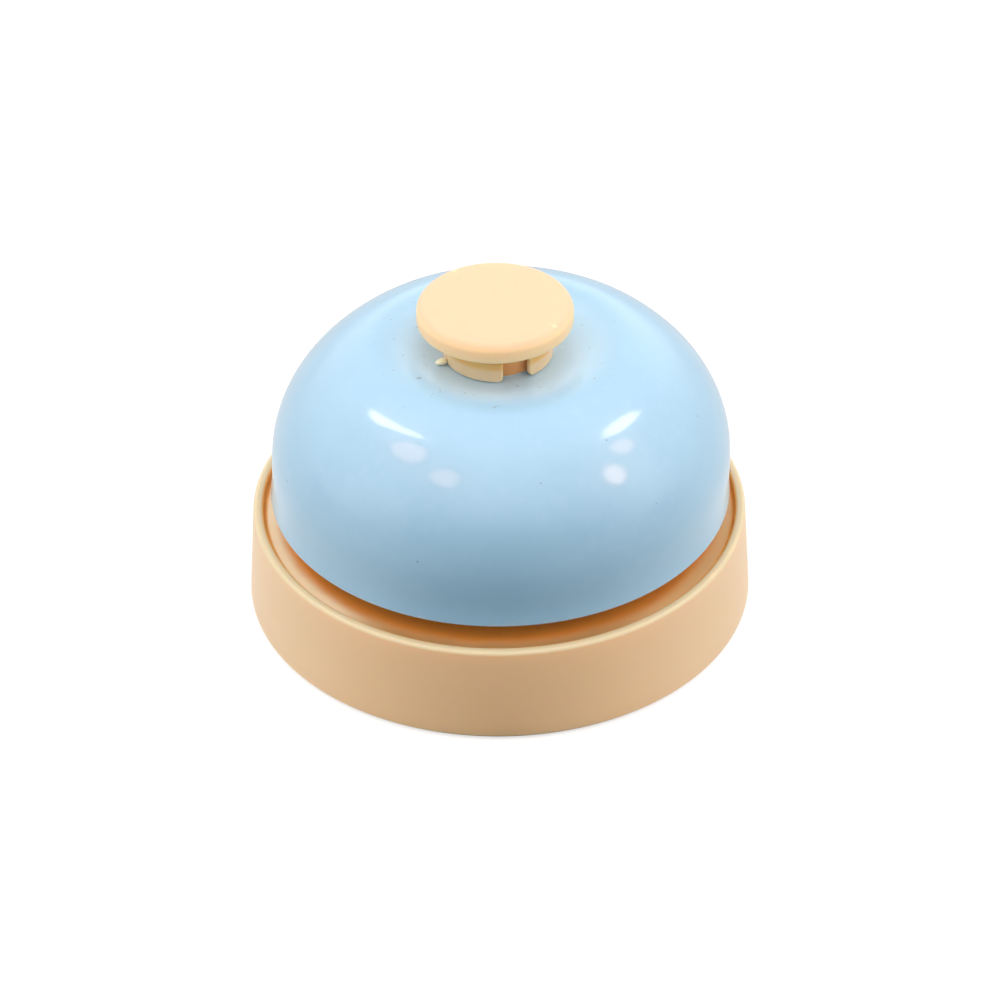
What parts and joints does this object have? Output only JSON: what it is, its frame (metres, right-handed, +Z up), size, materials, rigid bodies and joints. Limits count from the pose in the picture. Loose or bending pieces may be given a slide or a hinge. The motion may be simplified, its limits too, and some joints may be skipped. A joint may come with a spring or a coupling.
{
  "type": "service bell",
  "caption": "Counter service bell: cup base, pressed dome gong on a hollow post, and a spring-returned push button that lifts a pivoted hammer inside the dome.",
  "frame": {"origin": "centre of the footprint on the table plane, level with the underside of the foot pads", "axes": "+Z up along the button's stroke; -Y is the front; the hammer lies along +X and swings in the XZ plane"},
  "size_m": [0.075, 0.075, 0.0504],
  "materials": {
    "cream_plastic": "moulded cream-beige plastic with a low sheen",
    "cream_plastic_flat": "moulded cream-beige plastic, flat cover",
    "cream_button": "moulded cream-beige plastic, smooth",
    "blue_enamel": "pale blue gloss paint on pressed steel",
    "pad_rubber": "soft black rubber",
    "zinc_screw": "zinc plated",
    "zinc_sheet": "zinc-plated sheet steel",
    "plated_steel": "nickel plated turned steel",
    "spring_steel": "dark spring steel",
    "spring_wire": "drawn spring wire",
    "head_steel": "turned steel",
    "fibre": "vulcanised fibre",
    "clear_washer": "thin pale nylon washer",
    "spacer_plastic": "white nylon"
  },
  "bodies": {
    "frame": {"base_cup": "cream_plastic", "bottom_cover": "cream_plastic_flat", "foot_pads": "pad_rubber", "cover_screws": "zinc_screw", "bracket_screws": "zinc_screw", "mount_bracket": "zinc_sheet", "post_tube": "plated_steel", "post_lower_nut": "plated_steel", "lock_washer": "spring_steel", "dome_support_nut": "plated_steel", "fibre_washer": "fibre", "bell_dome": "blue_enamel", "soft_washer": "clear_washer", "collar_nut": "cream_plastic", "return_spring": "spring_wire", "pivot_pin": "plated_steel", "pivot_clip": "spring_steel", "pivot_spacers": "spacer_plastic"},
    "plunger": {"button_cap": "cream_button", "plunger_rod": "plated_steel", "stop_clip": "spring_steel"},
    "hammer": {"hammer_arm": "zinc_sheet", "hammer_head": "head_steel", "head_rivet": "zinc_screw"}
  },
  "joints": [
    {"name": "button_press", "type": "slide", "parent": "frame", "child": "plunger", "axis": [0, 0, -1], "range_m": [0, 0.0022], "stiffness_N_per_m": 300, "springref_m": -0.0035, "deforming": ["return_spring"]},
    {"name": "hammer_swing", "type": "hinge", "parent": "frame", "child": "hammer", "pos_m": [0.006, 0, 0.0256], "axis": [0, -1, 0], "range_deg": [0, 23]}
  ],
  "couplings": [
    {"joint": "hammer_swing", "follows": "button_press", "rad_per_m": 181.8}
  ]
}
